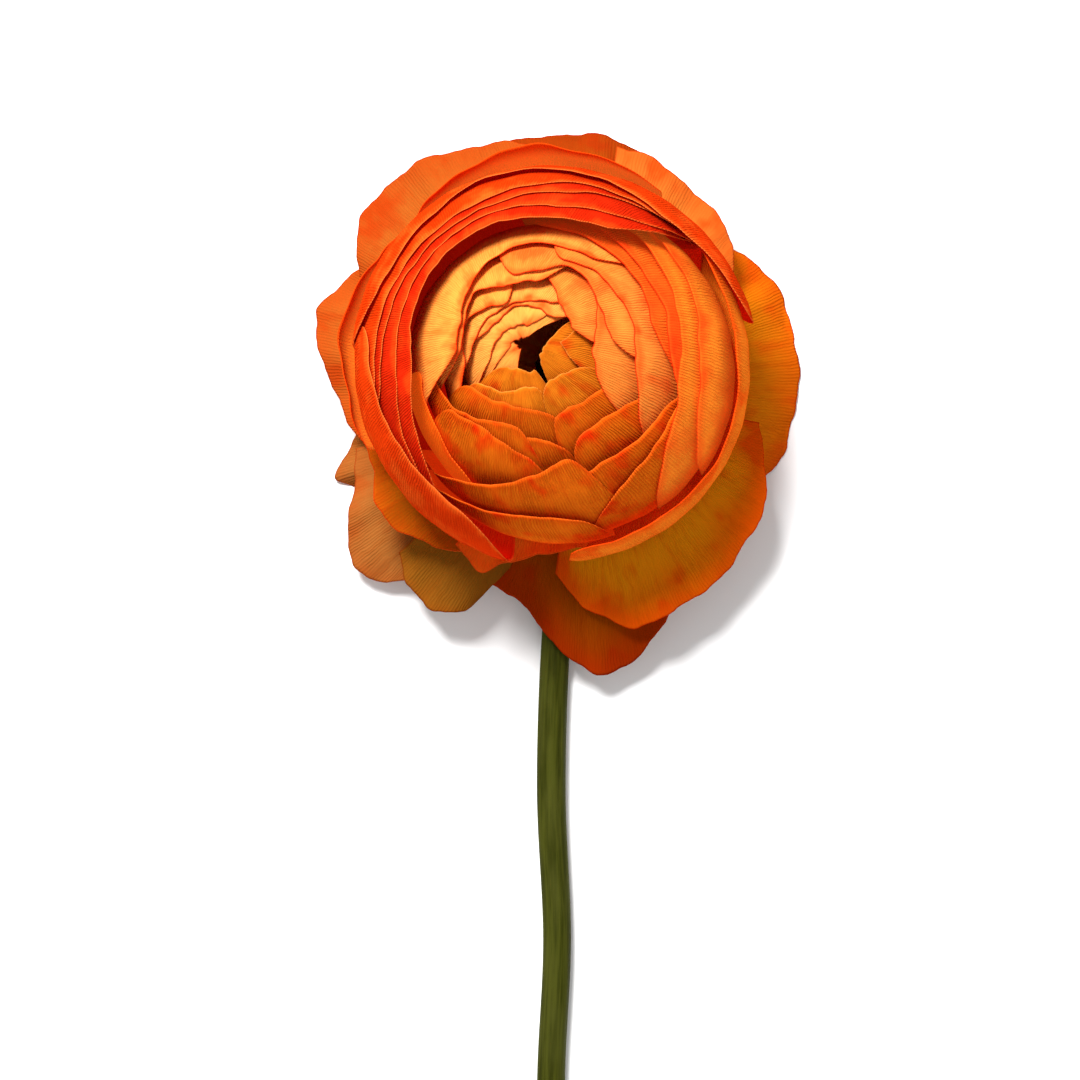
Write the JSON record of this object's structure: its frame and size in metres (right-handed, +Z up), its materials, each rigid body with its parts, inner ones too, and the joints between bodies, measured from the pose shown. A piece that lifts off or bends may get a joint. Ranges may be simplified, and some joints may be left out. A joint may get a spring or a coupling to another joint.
{
  "type": "cut ranunculus flower",
  "caption": "Cut ranunculus lying on its back: a ball of closely wrapped orange petals in a ring of open outer petals, on a long green stem.",
  "frame": {"origin": "centre of the bounding box's bottom face, on the surface that the flower lies on", "axes": "+Z up, out of the face of the bloom; the stem runs along -Y from the bloom to its cut end; +X to the right of the bloom seen from above with the stem below it"},
  "size_m": [0.0914, 0.2481, 0.0632],
  "materials": {
    "ball_petals": "soft matte petal, yellow-orange with red-orange edges and fine lengthwise veins",
    "ring_petals": "soft matte petal, red-orange",
    "open_petals": "soft matte petal, ochre-orange with a red-orange edge",
    "stem": "downy olive-green stem, slightly waxy",
    "sepals": "downy green sepal",
    "carpels": "dark matte knob"
  },
  "bodies": {
    "root": {"stem": "stem", "carpel_head": "carpels", "sepal_1": "sepals", "sepal_2": "sepals", "sepal_3": "sepals", "sepal_4": "sepals", "sepal_5": "sepals", "outer_petal_1": "ring_petals", "outer_petal_2": "ring_petals", "outer_petal_3": "ring_petals", "ring_petal_1": "ring_petals", "ring_petal_2": "ring_petals", "ring_petal_3": "ring_petals", "ring_petal_4": "ring_petals", "ring_petal_5": "ring_petals", "ring_petal_6": "ring_petals", "right_petal_1": "ball_petals", "lower_petal_1": "ball_petals", "right_petal_2": "ball_petals", "lower_petal_2": "ball_petals", "lower_petal_3": "ball_petals", "right_petal_3": "ball_petals", "lower_petal_4": "ball_petals", "right_petal_4": "ball_petals", "lower_petal_5": "ball_petals", "left_petal_1": "ball_petals", "lower_petal_6": "ball_petals", "right_petal_5": "ball_petals", "lower_petal_7": "ball_petals", "right_petal_6": "ball_petals", "lower_petal_8": "ball_petals", "lower_petal_9": "ball_petals", "left_petal_2": "ball_petals", "right_petal_7": "ball_petals", "lower_petal_10": "ball_petals", "right_petal_8": "ball_petals", "lower_petal_11": "ball_petals", "left_petal_3": "ball_petals", "heart_petal_1": "ball_petals", "heart_petal_2": "ball_petals", "heart_petal_3": "ball_petals", "heart_petal_4": "ball_petals", "heart_petal_5": "ball_petals", "heart_petal_6": "ball_petals", "heart_petal_7": "ball_petals", "heart_petal_8": "ball_petals", "heart_petal_9": "ball_petals", "heart_petal_10": "ball_petals", "inner_guard_1": "ring_petals", "inner_guard_2": "ring_petals", "guard_1": "open_petals", "guard_2": "open_petals", "guard_3": "open_petals", "guard_4": "open_petals", "guard_5": "open_petals", "guard_6": "open_petals", "guard_7": "open_petals", "guard_8": "open_petals", "guard_9": "open_petals", "guard_10": "open_petals"}
  },
  "joints": []
}
